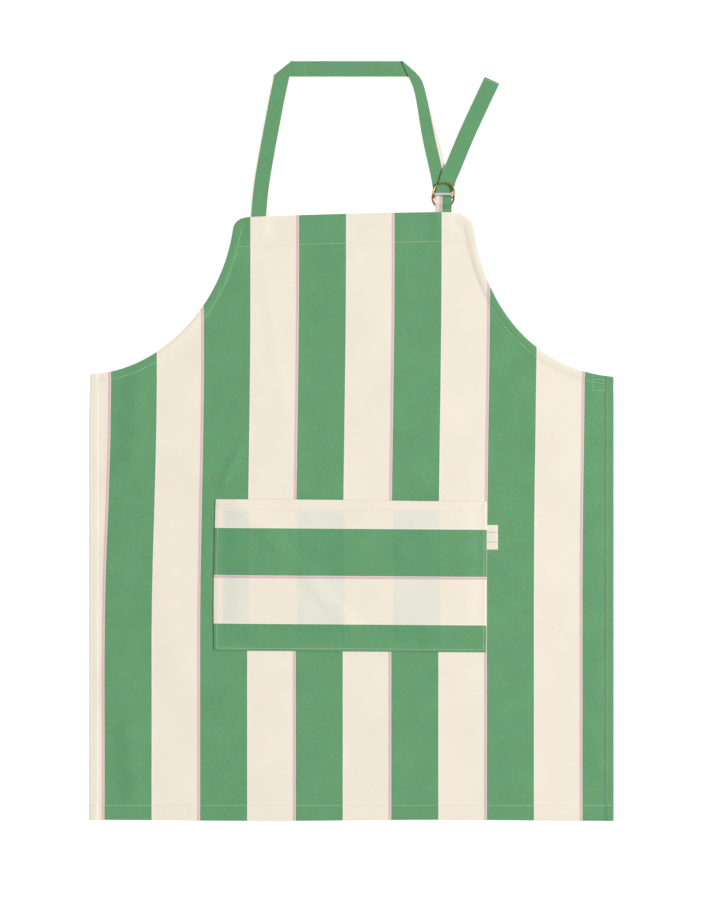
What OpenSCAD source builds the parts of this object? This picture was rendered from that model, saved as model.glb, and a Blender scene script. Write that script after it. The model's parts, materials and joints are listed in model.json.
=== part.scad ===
// Bib apron with a pocket, a neck strap on two D-rings and two waist ties, laid flat.
// Origin: middle of the footprint, on the surface the apron lies on.
// +X to the right as the apron is seen from its face, +Y from hem to neck, +Z out of the face.

/* [Panel] */
// Width of the skirt from side to side
skirt_w = 702; // [560:1:860]
// Length of the cloth from the bottom hem to the top of the bib
panel_l = 812; // [700:1:980]
// Length of the straight side, from the bottom hem to the armhole's foot
side_l = 597; // [480:1:720]
// Width of the bib at its top corners
bib_w = 321; // [270:1:420]
// Radius of the bib's top corners
bib_corner_r = 16; // [6:1:30]
// Part of the armhole's width that its foot runs level
arm_reach = 0.5; // [0.35:0.01:0.65]
// Part of the armhole's height where it turns upright
arm_rise = 0.61; // [0.45:0.01:0.75]
// Thickness of one ply of cloth
cloth_t = 0.6; // [0.4:0.1:1]

/* [Hems] */
// Width of the turned side hems
side_hem = 9; // [6:1:14]
// Depth of the turned bottom hem
bottom_hem = 20; // [12:1:40]
// Width of the bias facing round each armhole
arm_facing_w = 12; // [8:1:20]
// Depth of the facing behind the bib's top
bib_facing_d = 38; // [30:1:60]

/* [Pocket] */
// Width of the pocket
pocket_w = 364; // [260:1:440]
// Depth of the pocket
pocket_d = 202; // [140:1:260]
// Height of the pocket's mouth above the bottom hem
pocket_top = 430; // [360:1:470]
// Room inside the pocket when it is empty
pocket_ease = 4.8; // [4.4:0.1:10]
// Depth of the turned hem along the pocket's mouth
pocket_hem = 13; // [8:1:25]
// Width of the pocket's sewn edge
pocket_edge = 7; // [5:1:12]
// Distance over which the pocket lifts off its sewn edge
pocket_slope = 22; // [12:1:40]

/* [Label] */
// How far the folded label stands out of the pocket's side
label_w = 14; // [8:1:20]
// Length of the label along the pocket's side
label_l = 33; // [15:1:60]
// Distance from the pocket's mouth down to the label
label_drop = 34; // [20:1:80]
// Thickness of the folded label
label_t = 0.6; // [0.3:0.1:1]

/* [Neck strap] */
// Width of the neck strap
strap_w = 22; // [18:0.5:24]
// Thickness of the neck strap
strap_t = 1.2; // [0.8:0.1:1.4]
// Height of the neck loop above the bib
loop_rise = 207; // [150:1:320]
// Distance of the sewn strap end to the left of the middle
strap_x = 125; // [90:1:130]
// Distance of the ring tab to the right of the middle
tab_x = 123; // [90:1:130]
// How far the loop's left top corner lies to the left of the middle
corner_left = 92; // [60:1:110]
// How far each folded top corner is cut back
corner_cut = 12; // [8:1:14]
// How far the loop's right top corner lies to the right of the middle
corner_right = 74; // [50:1:90]
// Sideways sway of the right riser
riser_sway = 5; // [0:0.5:10]
// Length of the free tail past the rings
tail_l = 165; // [80:1:180]
// Lean of the tail from upright
tail_lean = 23.5; // [10:0.5:40]
// Length of strap and tab sewn in behind the bib
sewn_in = 24; // [12:1:28]

/* [Rings] */
// Room beside the strap inside each D-ring
ring_side = 2; // [1.5:0.1:3]
// Distance from a ring's straight bar to the middle of its arc
ring_h = 20; // [19:0.5:24]
// Diameter of the ring wire
wire = 2.5; // [2:0.1:2.8]
// Outer diameter of the bright sleeve on the rear ring's bar
sleeve_d = 3.9; // [3:0.1:4]
// Radius of the ring's bottom corners
ring_corner_r = 2.5; // [2:0.1:2.8]
// Sideways offset of each ring from the tab's middle
ring_shift = 0.5; // [0:0.1:0.6]
// Thickness of the tab's cloth
tab_t = 1; // [0.6:0.1:1.2]
// Lean of the rear ring out of the flat
rear_lean = 27.5; // [26:0.5:32]
// Distance of the rear ring's arc above the bib
ring_stand = 8.8; // [8.5:0.1:10]
// Distance of the front ring's bar above the rear ring's arc
bar_stand = 13.8; // [13.5:0.1:15]

/* [Waist ties] */
// Width of each waist tie
tie_w = 22; // [16:1:30]
// Length of each waist tie
tie_l = 580; // [400:1:620]
// Thickness of each waist tie
tie_t = 0.9; // [0.5:0.1:1]
// Distance of each tie's upper edge below the armhole's foot
tie_drop = 14; // [8:1:30]
// Slope of the left tie below level, tucked under the panel
tie_slope_left = 43; // [35:1:46]
// Slope of the right tie below level, tucked under the panel
tie_slope_right = 57; // [55:1:60]

/* [Thread] */
// Width of a row of stitches
stitch_w = 0.8; // [0.5:0.1:1.5]
// Height of the stitches above the cloth
stitch_t = 0.3; // [0.2:0.1:0.5]

/* [Hidden] */

green = "#6ca074";
cream = "#ede6d5";
thread_white = "#e9e8e0";
brass = "#a48144";
nickel = "#dce2e0";

gap = 0.3;                 // between pieces that move past each other
arc_steps = 24;            // segments of an armhole
corner_steps = 8;          // segments of a bib corner
turn_steps = 8;            // segments of a strap's turn
head_tuck = 0.12;          // how far the armhole's upper handle leans out, as a part of its width

overall_l = panel_l + loop_rise;
y_hem = -overall_l / 2;
y_bib = y_hem + panel_l;
y_side = y_hem + side_l;
y_top = overall_l / 2;
ply_z = 2 * cloth_t;       // underside of the panel's single ply, on its turned hems
face_z = 3 * cloth_t;      // face of the panel
stitch_top = face_z + stitch_t;

// Neck hinge, just past the bib's edge and above the tab's foot
hinge_gap = 1;
hinge_y = y_bib + hinge_gap;

// Rear ring: its arc lies in the strap's turn, its bar in front of tab and tail
ring_w = strap_w + 2 * (ring_side + wire);
arc_y = y_bib + ring_stand;
arc_z = strap_t + gap + wire / 2;
turn_r = strap_t / 2 + gap + wire / 2;
leg_in = 9;                // length of the strap's front leg over the rear arc
leg_down = 4.5;            // distance from there to where the strap lies down again
swing_room = 1.3;          // room for the rear ring to rock under that leg
leg_off = wire / 2 + swing_room + strap_t / 2;
hump = [arc_y + leg_in * cos(rear_lean) - leg_off * sin(rear_lean),
        arc_z + leg_in * sin(rear_lean) + leg_off * cos(rear_lean)];

// Front ring: its bar lies in the tab's fold, its arc on the tail
bar_y = arc_y + bar_stand;
bar_room = 1.35;           // between the tail and the tab folded round the bar
crest_room = [0.25, 0.85]; // between the strap's hump and the tab over it
ply_gap = 0.15;            // between the tab's two plies
fold_r = wire / 2 + gap + tab_t / 2;
tail_z = strap_t + gap;
bar_z = tail_z + strap_t + bar_room + tab_t / 2 + fold_r;
tab_foot = [hinge_y + gap, 2 * tab_t];
tab_crest = hump + crest_room + [0, (strap_t + tab_t) / 2];
tab_lift = [0, tab_t + ply_gap];
front_drop = asin((bar_z - tail_z - strap_t - gap - wire / 2) / ring_h);
tail_y = arc_y + ring_h;

pocket_y = y_hem + pocket_top;
pocket_z = face_z + 2 * cloth_t;
label_y = pocket_y - label_drop - label_l;
tie_root_left = y_side - tie_drop - tie_w / 2 / cos(tie_slope_left);
tie_root_right = y_side - tie_drop - tie_w / 2 / cos(tie_slope_right);
tie_notch = 36;            // how far below a tie's root the side hem stops
tack_l = 16;
tack_gap = 3;

function bezier(a, b, c, d, t) =
    pow(1 - t, 3) * a + 3 * t * pow(1 - t, 2) * b + 3 * t * t * (1 - t) * c + pow(t, 3) * d;
function slope(a, b, c, d, t) =
    3 * pow(1 - t, 2) * (b - a) + 6 * t * (1 - t) * (c - b) + 3 * t * t * (d - c);
function left_of(v) = [-v.y, v.x] / norm(v);

arm_foot = [skirt_w / 2, y_side];
arm_head = [bib_w / 2, y_bib - bib_corner_r];
arm_a = arm_foot - [arm_reach * (arm_foot.x - arm_head.x), 0];
arm_b = [arm_head.x + head_tuck * (arm_foot.x - arm_head.x),
         arm_foot.y + (1 - arm_rise) * (arm_head.y - arm_foot.y)];

// Points of the right armhole, moved into the cloth by inset, from foot to head
function armhole(inset) = [for (i = [0:arc_steps])
    let (t = i / arc_steps)
    bezier(arm_foot, arm_a, arm_b, arm_head, t)
    + inset * left_of(slope(arm_foot, arm_a, arm_b, arm_head, t))];

function bib_corner() = [for (i = [1:corner_steps])
    let (a = 90 * i / corner_steps)
    [bib_w / 2 - bib_corner_r * (1 - cos(a)), y_bib - bib_corner_r * (1 - sin(a))]];

function reversed(p) = [for (i = [len(p) - 1:-1:0]) p[i]];
function mirrored(p) = [for (q = reversed(p)) [-q.x, q.y]];

half_outline = concat([[skirt_w / 2, y_hem]], armhole(0), bib_corner());

// A band of even thickness along a path, as an outline
function side_of(p, i, off) =
    let (a = p[max(i - 1, 0)], b = p[min(i + 1, len(p) - 1)],
         back = left_of(i == 0 ? p[1] - p[0] : p[i] - a),
         ahead = left_of(i == len(p) - 1 ? p[i] - a : b - p[i]),
         m = back + ahead)
    p[i] + off * m * 2 / (m * m);
function band(p, t) = concat([for (i = [0:len(p) - 1]) side_of(p, i, t / 2)],
                             reversed([for (i = [0:len(p) - 1]) side_of(p, i, -t / 2)]));

// A flat plate of the apron's outline between two heights
module cloth_plate(z0, z1) {
    translate([0, 0, z0])
        linear_extrude(z1 - z0)
            polygon(concat(half_outline, mirrored(half_outline)));
}

// A flat strap along a plan path
module strap(p, w, t) {
    linear_extrude(t)
        polygon(band(p, w));
}

// A profile given in Y and Z, made w wide about x
module across(x, w) {
    translate([x - w / 2, 0, 0])
        rotate([90, 0, 90])
            linear_extrude(w)
                children();
}

module box(low, high) {
    translate(low)
        cube(high - low);
}

module front_panel() {
    edge = skirt_w / 2;
    notch_left = tie_root_left - y_hem - tie_notch;
    notch_right = tie_root_right - y_hem - tie_notch;
    color(green) {
        cloth_plate(ply_z, face_z);
        box([-edge, y_hem, 0], [edge, y_hem + bottom_hem, ply_z]);
        box([-edge, y_hem, 0], [-edge + side_hem, y_hem + notch_left, ply_z]);
        box([edge - side_hem, y_hem, 0], [edge, y_hem + notch_right, ply_z]);
    }
}

module bib_facing() {
    edge = bib_w;
    color(cream)
        difference() {
            intersection() {
                cloth_plate(0, ply_z);
                box([-edge, y_bib - bib_facing_d, 0], [edge, y_bib, ply_z]);
            }
            for (x = [-strap_x, tab_x])
                box([x - strap_w / 2, y_bib - sewn_in, cloth_t],
                    [x + strap_w / 2, y_bib + 1, ply_z + 1]);
        }
}

// The bias facing stops clear of the tie at its foot and under the bib facing at its head
module armhole_facing() {
    color(cream)
        intersection() {
            linear_extrude(ply_z)
                polygon(concat(armhole(0), reversed(armhole(arm_facing_w))));
            box([0, y_side - 1, 0], [skirt_w / 2 - side_hem, y_bib - bib_facing_d, ply_z]);
        }
}

module pocket() {
    half = pocket_w / 2;
    low = pocket_y - pocket_d;
    rise = pocket_ease + face_z;
    color(green)
        difference() {
            union() {
                box([-half, low, face_z], [half, pocket_y, pocket_z]);
                pocket_block(0, pocket_z, rise + cloth_t);
                pocket_mouth(rise + cloth_t, rise + 2 * cloth_t);
            }
            pocket_block(cloth_t, face_z - 1, rise);
            pocket_mouth(face_z - 1, rise);
        }
}

// The room under the pocket: sides and bottom slope in, the mouth is left open
module pocket_block(inset, z0, z1) {
    half = pocket_w / 2 - pocket_edge - inset;
    low = pocket_y - pocket_d + pocket_edge + inset;
    intersection() {
        translate([0, pocket_y, 0])
            rotate([90, 0, 0])
                linear_extrude(pocket_d)
                    polygon([[-half, z0], [-half, pocket_z], [-half + pocket_slope, z1],
                             [half - pocket_slope, z1], [half, pocket_z], [half, z0]]);
        across(0, pocket_w)
            polygon([[low, z0], [low, pocket_z], [low + pocket_slope, z1],
                     [pocket_y, z1], [pocket_y, z0]]);
    }
}

// A strip along the pocket's mouth, between two heights
module pocket_mouth(z0, z1) {
    half = pocket_w / 2 - pocket_edge - pocket_slope;
    box([-half, pocket_y - pocket_hem, z0], [half, pocket_y + (z0 < face_z ? 1 : 0), z1]);
}

module pocket_label() {
    color(cream)
        box([pocket_w / 2 + gap, label_y, face_z + gap],
            [pocket_w / 2 + gap + label_w, label_y + label_l, face_z + gap + label_t]);
}

loop_y = y_top - strap_w / 2;
riser_bend = 13;           // distance above the bar where the riser turns straight down
riser_foot = [tab_x, bar_y + riser_bend];
riser_steps = 8;
riser = [for (i = [1:riser_steps])
    let (s = i / riser_steps)
    [corner_right + s * (riser_foot.x - corner_right) + riser_sway * sin(360 * s),
     loop_y + s * (riser_foot.y - loop_y)]];
left_foot = [-strap_x, hinge_y];
left_top = [-corner_left, loop_y];
left_up = (left_top - left_foot) / norm(left_top - left_foot);
loop_path = concat([left_foot - strap_w * left_up, left_top - corner_cut * left_up,
                    [corner_cut - corner_left, loop_y], [corner_right - corner_cut, loop_y]],
                   riser, [[tab_x, arc_y]]);
tail_end = [tab_x + tail_l * sin(tail_lean), tail_y + tail_l * cos(tail_lean)];

// Arc points about a centre, from one angle to another
function arc(centre, r, from, to) = [for (i = [0:turn_steps])
    let (a = from + (to - from) * i / turn_steps)
    centre + r * [cos(a), sin(a)]];

// The strap comes down flat, turns round the rear ring's arc and goes back up as the tail
module neck_strap() {
    leg_end = [arc_y + leg_in + leg_down, tail_z + strap_t / 2];
    turn = arc([arc_y, arc_z], turn_r, 270, 90 + rear_lean);
    color(green) {
        intersection() {
            strap(loop_path, strap_w, strap_t);
            box([-skirt_w, hinge_y + gap, 0], [skirt_w, y_top, strap_t]);
        }
        across(tab_x, strap_w)
            polygon(band(concat([[arc_y + turn_r, strap_t / 2]], turn,
                                [hump, leg_end, [tail_y - gap, tail_z + strap_t / 2]]), strap_t));
        translate([0, 0, tail_z])
            strap([[tab_x, leg_end.x + gap], [tab_x, tail_y], tail_end], strap_w, strap_t);
    }
}

// Strap and tab ends caught between the bib and its facing
module sewn_end(x) {
    color(green)
        box([x - strap_w / 2, y_bib - sewn_in, cloth_t], [x + strap_w / 2, hinge_y - gap, ply_z]);
}

// The tab rises over the strap's turn and folds round the front ring's bar
module ring_tab() {
    bar = [bar_y, bar_z];
    to_bar = bar - tab_crest;
    to_front = bar - tab_crest - tab_lift;
    back = atan2(to_bar.y, to_bar.x) - asin(fold_r / norm(to_bar)) - 90;
    front = atan2(to_front.y, to_front.x) + asin(fold_r / norm(to_front)) + 90;
    below = tab_foot - (tab_crest - tab_foot);
    lap = 10;
    color(green)
        across(tab_x, strap_w)
            intersection() {
                union() {
                    polygon(band(concat([below, tab_crest], arc(bar, fold_r, back, lap)), tab_t));
                    polygon(band(concat(arc(bar, fold_r, 0, front),
                                        [tab_crest + tab_lift, below + tab_lift]), tab_t));
                }
                translate([tab_foot.x, 0])
                    square([4 * ring_h, 2 * ring_h]);
            }
}

// D-ring with its straight bar on the X axis and its arc towards +Y
module d_ring() {
    half = (ring_w - wire) / 2;
    r = ring_corner_r;
    leg = ring_h - half;
    translate([0, leg, 0])
        rotate_extrude(angle = 180, $fn = 64)
            translate([half, 0])
                circle(d = wire, $fn = 24);
    for (s = [0, 1])
        mirror([s, 0, 0]) {
            translate([half, leg, 0])
                rotate([90, 0, 0])
                    cylinder(d = wire, h = leg - r, $fn = 24);
            translate([half - r, r, 0])
                rotate(-90)
                    rotate_extrude(angle = 90, $fn = 64)
                        translate([r, 0])
                            circle(d = wire, $fn = 24);
        }
    translate([r - half, 0, 0])
        rotate([0, 90, 0])
            cylinder(d = wire, h = 2 * (half - r), $fn = 24);
}

module front_ring() {
    color(brass)
        translate([tab_x + ring_shift, bar_y, bar_z])
            rotate([-front_drop, 0, 0])
                d_ring();
}

module on_rear_ring() {
    translate([tab_x - ring_shift, arc_y, arc_z])
        rotate([rear_lean, 0, 0])
            translate([0, ring_h, 0])
                rotate(180)
                    children();
}

module rear_ring() {
    color(brass)
        on_rear_ring()
            d_ring();
}

module bar_sleeve() {
    length = ring_w - wire - 2 * ring_corner_r;
    color(nickel)
        on_rear_ring()
            translate([-length / 2, 0, 0])
                rotate([0, 90, 0])
                    difference() {
                        cylinder(d = sleeve_d, h = length, $fn = 48);
                        translate([0, 0, -1])
                            cylinder(d = wire, h = length + 2, $fn = 24);
                    }
}

// A tie from the side edge inwards and down, flat under the panel; side is -1 or 1
module waist_tie(side, root, fall) {
    edge = skirt_w / 2 - gap;
    along = [-side * cos(fall), -sin(fall)];
    color(green)
        intersection() {
            strap([[side * edge, root] - tie_w * along, [side * edge, root] + tie_l * along],
                  tie_w, tie_t);
            box([-edge, y_hem, 0], [edge, y_side, tie_t]);
        }
}

module thread(low, high) {
    color(thread_white)
        box(low, high);
}

seam_in = 1;               // from a hem's inner edge to its stitches
side_line = skirt_w / 2 - side_hem + seam_in;
hem_line = y_hem + bottom_hem - seam_in;
facing_line = y_bib - bib_facing_d + 2 * seam_in;
arm_line = arm_facing_w - 2 * seam_in;
patch_in = 3;              // from the pocket's edge to the stitches that hold it
tack_w = 2;                // width of a back-tack at the pocket's corners
tack_d = 11;               // length of that back-tack

module bib_facing_stitch() {
    half = bib_w / 2 - arm_line;
    thread([-half, facing_line, face_z], [half, facing_line + stitch_w, stitch_top]);
}

module armhole_stitch() {
    color(thread_white)
        intersection() {
            translate([0, 0, face_z])
                linear_extrude(stitch_t)
                    polygon(concat(armhole(arm_line), reversed(armhole(arm_line + stitch_w))));
            box([0, y_hem, face_z], [side_line - tack_gap - tack_l, facing_line - stitch_w, stitch_top]);
        }
}

module side_stitch(side) {
    x = side > 0 ? side_line : -side_line - stitch_w;
    thread([x, hem_line + 2 * stitch_w, face_z], [x + stitch_w, y_side - 2 * tack_gap, stitch_top]);
}

module bottom_hem_stitch() {
    edge = skirt_w / 2 - seam_in;
    thread([-edge, hem_line, face_z], [edge, hem_line + stitch_w, stitch_top]);
}

module pocket_hem_stitch() {
    half = pocket_w / 2 - pocket_edge - pocket_slope;
    z = face_z + pocket_ease + 2 * cloth_t;
    y = pocket_y - pocket_hem + seam_in;
    thread([-half, y, z], [half, y + stitch_w, z + stitch_t]);
}

module pocket_seam() {
    half = pocket_w / 2 - patch_in;
    low = pocket_y - pocket_d + patch_in;
    high = pocket_y - tack_l;
    color(thread_white)
        difference() {
            box([-half, low, pocket_z], [half, high, pocket_z + stitch_t]);
            box([-half + stitch_w, low + stitch_w, pocket_z - 1], [half - stitch_w, high + 1, pocket_z + 1]);
        }
}

module pocket_tack(side) {
    x = side > 0 ? pocket_w / 2 - patch_in - tack_w : patch_in - pocket_w / 2;
    high = pocket_y - 2 * seam_in;
    thread([x, high - tack_d, pocket_z], [x + tack_w, high, pocket_z + stitch_t]);
}

module tail_end_stitch() {
    in = 6;
    half = strap_w / 2 - 2 * seam_in;
    color(thread_white)
        translate([tail_end.x, tail_end.y, tail_z + strap_t])
            rotate(-tail_lean)
                box([-half, -in, 0], [half, -in + stitch_w, stitch_t]);
}

module tab_stitch() {
    rise = tab_crest - tab_foot;
    turn = atan2(rise.y, rise.x);
    up = tab_t / 2 / cos(turn) + tab_lift.y;
    half = strap_w / 2 - seam_in;
    above = 4;                  // distance up the slope
    color(thread_white)
        translate([tab_x, tab_foot.x, tab_foot.y + up])
            rotate([turn, 0, 0])
                box([-half, above, 0], [half, above + stitch_w, stitch_t]);
}

module tie_tack(side) {
    x0 = side_line - tack_gap - tack_l;
    high = y_side - 2 * tack_gap;
    color(thread_white)
        mirror([side < 0 ? 1 : 0, 0, 0])
            difference() {
                box([x0, high - tack_l, face_z], [x0 + tack_l, high, stitch_top]);
                box([x0 + stitch_w, high - tack_l + stitch_w, face_z - 1],
                    [x0 + tack_l - stitch_w, high - stitch_w, stitch_top + 1]);
            }
}

front_panel();
bib_facing();
mirror([1, 0, 0]) armhole_facing();  // armhole_facing_left
armhole_facing();  // armhole_facing_right
pocket();
pocket_label();
neck_strap();
sewn_end(-strap_x);  // strap_sewn_end
ring_tab();
sewn_end(tab_x);  // tab_sewn_end
front_ring();
rear_ring();
bar_sleeve();
waist_tie(-1, tie_root_left, tie_slope_left);  // waist_tie_left
waist_tie(1, tie_root_right, tie_slope_right);  // waist_tie_right
bib_facing_stitch();
mirror([1, 0, 0]) armhole_stitch();  // armhole_stitch_left
armhole_stitch();  // armhole_stitch_right
side_stitch(-1);  // side_stitch_left
side_stitch(1);  // side_stitch_right
bottom_hem_stitch();
pocket_hem_stitch();
pocket_seam();
pocket_tack(-1);  // pocket_tack_left
pocket_tack(1);  // pocket_tack_right
tail_end_stitch();
tab_stitch();
tie_tack(-1);  // tie_tack_left
tie_tack(1);  // tie_tack_right
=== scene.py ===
import json
import math
import random

import bpy
import numpy as np
from mathutils import Matrix, Vector


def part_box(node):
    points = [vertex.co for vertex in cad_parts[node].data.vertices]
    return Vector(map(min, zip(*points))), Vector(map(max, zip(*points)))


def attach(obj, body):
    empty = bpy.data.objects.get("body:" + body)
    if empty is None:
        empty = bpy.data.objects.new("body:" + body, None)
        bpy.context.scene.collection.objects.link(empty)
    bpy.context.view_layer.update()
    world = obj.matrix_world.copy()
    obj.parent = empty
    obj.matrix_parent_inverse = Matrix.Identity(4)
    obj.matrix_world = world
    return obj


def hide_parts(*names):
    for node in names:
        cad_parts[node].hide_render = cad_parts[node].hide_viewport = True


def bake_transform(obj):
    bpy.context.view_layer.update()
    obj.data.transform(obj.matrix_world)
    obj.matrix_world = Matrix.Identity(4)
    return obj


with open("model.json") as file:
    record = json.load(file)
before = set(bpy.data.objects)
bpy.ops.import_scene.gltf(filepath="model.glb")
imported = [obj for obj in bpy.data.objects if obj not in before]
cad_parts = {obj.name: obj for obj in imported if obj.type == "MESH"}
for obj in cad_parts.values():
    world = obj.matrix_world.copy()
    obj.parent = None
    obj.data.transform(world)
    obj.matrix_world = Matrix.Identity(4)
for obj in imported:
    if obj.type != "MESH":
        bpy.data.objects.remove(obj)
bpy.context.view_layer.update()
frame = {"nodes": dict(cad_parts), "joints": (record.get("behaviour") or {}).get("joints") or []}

mm = 0.001                      # every length below is in millimetres
random.seed(11)
bpy.context.scene.view_settings.view_transform = "Standard"
print("frame loaded:", len(frame["nodes"]), "nodes")


def boxOf(node):                # a CAD node's two corners, in millimetres
    low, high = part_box(node)
    return low / mm, high / mm


def jointAt(name):              # where a joint's axis is, in millimetres
    joint = next(j for j in frame["joints"] if j["name"] == name)
    return Vector(joint["pos_m"]) / mm


panelLow, panelHigh = boxOf("front_panel")
pocketLow, pocketHigh = boxOf("pocket")
tabLow, tabHigh = boxOf("ring_tab")
tabX = (tabLow.x + tabHigh.x) / 2
strapX = sum(c.x for c in boxOf("strap_sewn_end")) / 2
neckY = jointAt("neck_fold").y


# ---- camera, light and floor

camera = {"lens": 85, "at": (11.4, -19, 2880)}
bpy.ops.object.camera_add(location=Vector(camera["at"]) * mm)
cameraObject = bpy.context.object
cameraObject.data.lens = camera["lens"]
bpy.context.scene.camera = cameraObject


noiseSpan = {"From Min": 0.3, "From Max": 0.7}      # where a noise texture's values mostly lie


# Sets a node's inputs, each to a value, a socket, or the first output of another node
def setInputs(node, inputs):
    for key, value in inputs.items():
        if isinstance(value, bpy.types.Node):
            value = value.outputs[0]
        if isinstance(value, bpy.types.NodeSocket):
            node.id_data.links.new(value, node.inputs[key])
        else:
            node.inputs[key].default_value = value


def addNode(tree, kind, inputs=None, **settings):
    node = tree.nodes.new("ShaderNode" + kind)
    for key, value in settings.items():
        setattr(node, key, value)
    setInputs(node, inputs or {})
    return node


def linear(code, alpha=1.0):    # a hex colour as linear light
    parts = [int(code[i:i + 2], 16) / 255 for i in (1, 3, 5)]
    curve = [c / 12.92 if c < 0.04045 else ((c + 0.055) / 1.055) ** 2.4 for c in parts]
    return (*curve, alpha)


def grey(level):
    return level, level, level, 1


def setStops(ramp, stops, interpolation="LINEAR"):
    ramp.interpolation = interpolation
    while len(ramp.elements) < len(stops):
        ramp.elements.new(1.0)
    for element, (position, colour) in zip(ramp.elements, stops):
        element.position = position
        element.color = colour


# A bright ceiling that falls off to a dim horizon, a large far lamp on the right, and a
# near one beside it that makes the right a little brighter than the left
light = {"sky": 0.6, "horizon": 0.12, "ceiling": 0.75, "sun": 1.9, "sunAngle": 14, "tilt": 48,
         "from": 8, "lamp": 5.2, "lampAt": (1.5, 0.1, 1.2), "lampSize": 0.5}
world = bpy.data.worlds.new("studio")
bpy.context.scene.world = world
world.use_nodes = True
sky = world.node_tree
sky.nodes.clear()
skyAt = addNode(sky, "TexCoord")
skyParts = addNode(sky, "SeparateXYZ", {"Vector": skyAt.outputs["Generated"]})
skyRamp = addNode(sky, "ValToRGB", {"Fac": skyParts.outputs["Z"]})
setStops(skyRamp.color_ramp, [(0.0, grey(light["horizon"])), (light["ceiling"], grey(1))])
skyShade = addNode(sky, "Background", {"Color": skyRamp, "Strength": light["sky"]})
addNode(sky, "OutputWorld", {"Surface": skyShade})

tilt, heading = math.radians(light["tilt"]), math.radians(light["from"])
bpy.ops.object.light_add(type="SUN")
sun = bpy.context.object
sun.data.energy = light["sun"]
sun.data.angle = math.radians(light["sunAngle"])
sunFrom = Vector((math.cos(heading) * math.sin(tilt),
                  math.sin(heading) * math.sin(tilt), math.cos(tilt)))
sun.rotation_euler = sunFrom.to_track_quat("Z", "Y").to_euler()
bpy.ops.object.light_add(type="AREA", location=light["lampAt"])
lamp = bpy.context.object
lamp.data.energy = light["lamp"]
lamp.data.size = light["lampSize"]
lamp.rotation_euler = Vector(light["lampAt"]).to_track_quat("Z", "Y").to_euler()

bpy.ops.object.select_all(action="DESELECT")
bpy.ops.mesh.primitive_plane_add(size=40, location=(0, 0, 0))
floor = bpy.context.object
floor.name = "floor"


# A new material, its node tree and its main shader
def startMaterial(name):
    material = bpy.data.materials.new(name)
    material.use_nodes = True
    return material, material.node_tree, material.node_tree.nodes["Principled BSDF"]


# Backdrop paper with a light behind it, so that nothing throws a shadow on it
paper, _, paperShade = startMaterial("backlit backdrop paper")
setInputs(paperShade, {"Base Color": linear("#606060"), "Roughness": 0.9, "Emission Color": grey(1),
                       "Emission Strength": 0.95})
floor.data.materials.append(paper)
print("camera, light and floor are set")


# ---- materials

canvas = {"repeat": 128.2, "pink": 4.0, "green": 63.5, "yarn": 0.55, "slub": 1.5, "blotch": 16.0,
          "cloud": 35.2, "husk": 24}
colours = {"green": "#69a172", "cream": "#f4ead9", "pink": "#e3bfc1", "pale": "#f8f0e3",
           "palePink": "#eedcd6", "husk": "#a68f74", "seenBehind": (0.9, 0.965, 0.99, 1)}


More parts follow.
